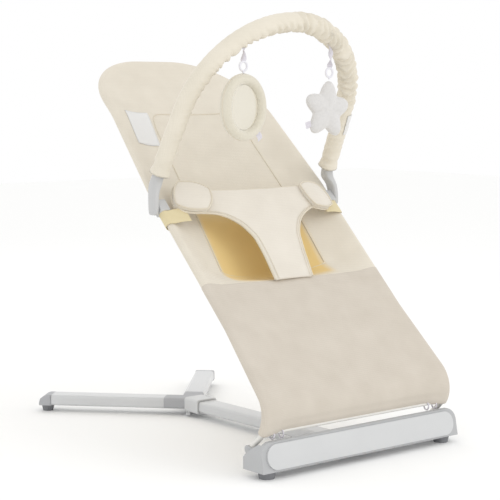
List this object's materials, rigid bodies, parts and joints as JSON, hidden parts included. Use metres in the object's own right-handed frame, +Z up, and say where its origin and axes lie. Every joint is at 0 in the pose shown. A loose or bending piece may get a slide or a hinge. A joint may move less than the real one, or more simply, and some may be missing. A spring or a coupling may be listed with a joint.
{
  "type": "bouncer seat",
  "caption": "Baby bouncer: fabric sling seat on a reclining bent-wire frame, low front housing, folding Y-shaped rear base, and a padded toy bar with a hanging mirror ring and star.",
  "frame": {"origin": "middle of the footprint at floor level", "axes": "+X to the sitter's left side, +Y from the front housing to the rear legs, +Z up"},
  "size_m": [0.39, 0.6213, 0.6542],
  "materials": {
    "light_grey_plastic": "matt",
    "white_plastic": "satin",
    "grey_plastic": "matt",
    "dark_rubber": "matt",
    "white_enamelled_tube": "satin",
    "zinc_steel": "satin",
    "white_enamelled_wire": "satin",
    "cream_jersey": "woven",
    "padded_jersey": "woven",
    "cream_elastic": "woven",
    "white_ribbon": "woven",
    "mirror_film": "mirror",
    "cream_plush": "plush",
    "white_plush": "plush"
  },
  "bodies": {
    "base": {"housing_shell": "light_grey_plastic", "housing_base_cover": "grey_plastic", "housing_screws": "zinc_steel", "shaft_bearing_left": "grey_plastic", "shaft_bearing_right": "grey_plastic", "front_panel": "white_plastic", "front_foot_left": "dark_rubber", "front_foot_right": "dark_rubber", "stem_socket": "light_grey_plastic", "stem_tube": "white_enamelled_tube", "stem_hinge_plug": "grey_plastic"},
    "rear_base": {"leg_hub": "grey_plastic", "hub_collar": "white_plastic", "fold_pin": "zinc_steel", "leg_tube_left": "white_enamelled_tube", "leg_tube_right": "white_enamelled_tube", "leg_end_cap_left": "grey_plastic", "leg_end_cap_right": "grey_plastic", "rear_foot_left": "dark_rubber", "rear_foot_right": "dark_rubber"},
    "recline": {"recline_shaft": "zinc_steel", "friction_disc_left": "grey_plastic", "friction_disc_right": "grey_plastic"},
    "seat": {"recline_arm_left": "light_grey_plastic", "recline_arm_right": "light_grey_plastic", "side_rail_left": "white_enamelled_wire", "side_rail_right": "white_enamelled_wire", "head_loop": "white_enamelled_wire", "hem_rod": "white_enamelled_wire", "hem_loops": "white_enamelled_wire", "leg_cover": "cream_jersey", "back_panel": "cream_jersey", "side_panel_left": "cream_jersey", "side_panel_right": "cream_jersey", "pouch_floor": "cream_jersey", "head_panel": "cream_jersey", "bodice": "padded_jersey", "bodice_tab_left": "padded_jersey", "bodice_tab_right": "padded_jersey", "strap_left": "cream_elastic", "strap_right": "cream_elastic", "bar_clip_left": "grey_plastic", "bar_clip_right": "grey_plastic"},
    "toy_bar": {"bar_end_left": "grey_plastic", "bar_end_right": "grey_plastic", "toy_bar_tube": "white_plastic", "toy_bar_sleeve": "cream_jersey", "mirror_ribbon": "white_ribbon", "star_ribbon": "white_ribbon"},
    "mirror_toy": {"mirror_hook": "white_plastic", "mirror_ring": "cream_plush", "mirror_disc": "mirror_film"},
    "star_toy": {"star_hook": "white_plastic", "star_plush": "white_plush"}
  },
  "joints": [
    {"name": "rear_base_fold", "type": "hinge", "parent": "base", "child": "rear_base", "pos_m": [0, 0.0965, 0.008], "axis": [-1, 0, 0], "range_deg": [0, 172]},
    {"name": "seat_recline", "type": "hinge", "parent": "base", "child": "recline", "pos_m": [0, -0.2857, 0.03], "axis": [-1, 0, 0], "range_deg": [0, 30]},
    {"name": "seat_bounce", "type": "hinge", "parent": "recline", "child": "seat", "pos_m": [0, -0.2857, 0.03], "axis": [-1, 0, 0], "range_deg": [-4, 4], "stiffness_Nm_per_rad": 160, "springref_deg": -1.04},
    {"name": "toy_bar_tilt", "type": "hinge", "parent": "seat", "child": "toy_bar", "pos_m": [0, -0.03711, 0.36159], "axis": [1, 0, 0], "range_deg": [-11, 70]},
    {"name": "mirror_toy_swing", "type": "hinge", "parent": "toy_bar", "child": "mirror_toy", "pos_m": [-0.09, -0.13624, 0.58147], "axis": [1, 0, 0], "range_deg": [-25, 25]},
    {"name": "star_toy_swing", "type": "hinge", "parent": "toy_bar", "child": "star_toy", "pos_m": [0.078, -0.13947, 0.57366], "axis": [1, 0, 0], "range_deg": [-25, 25]}
  ]
}
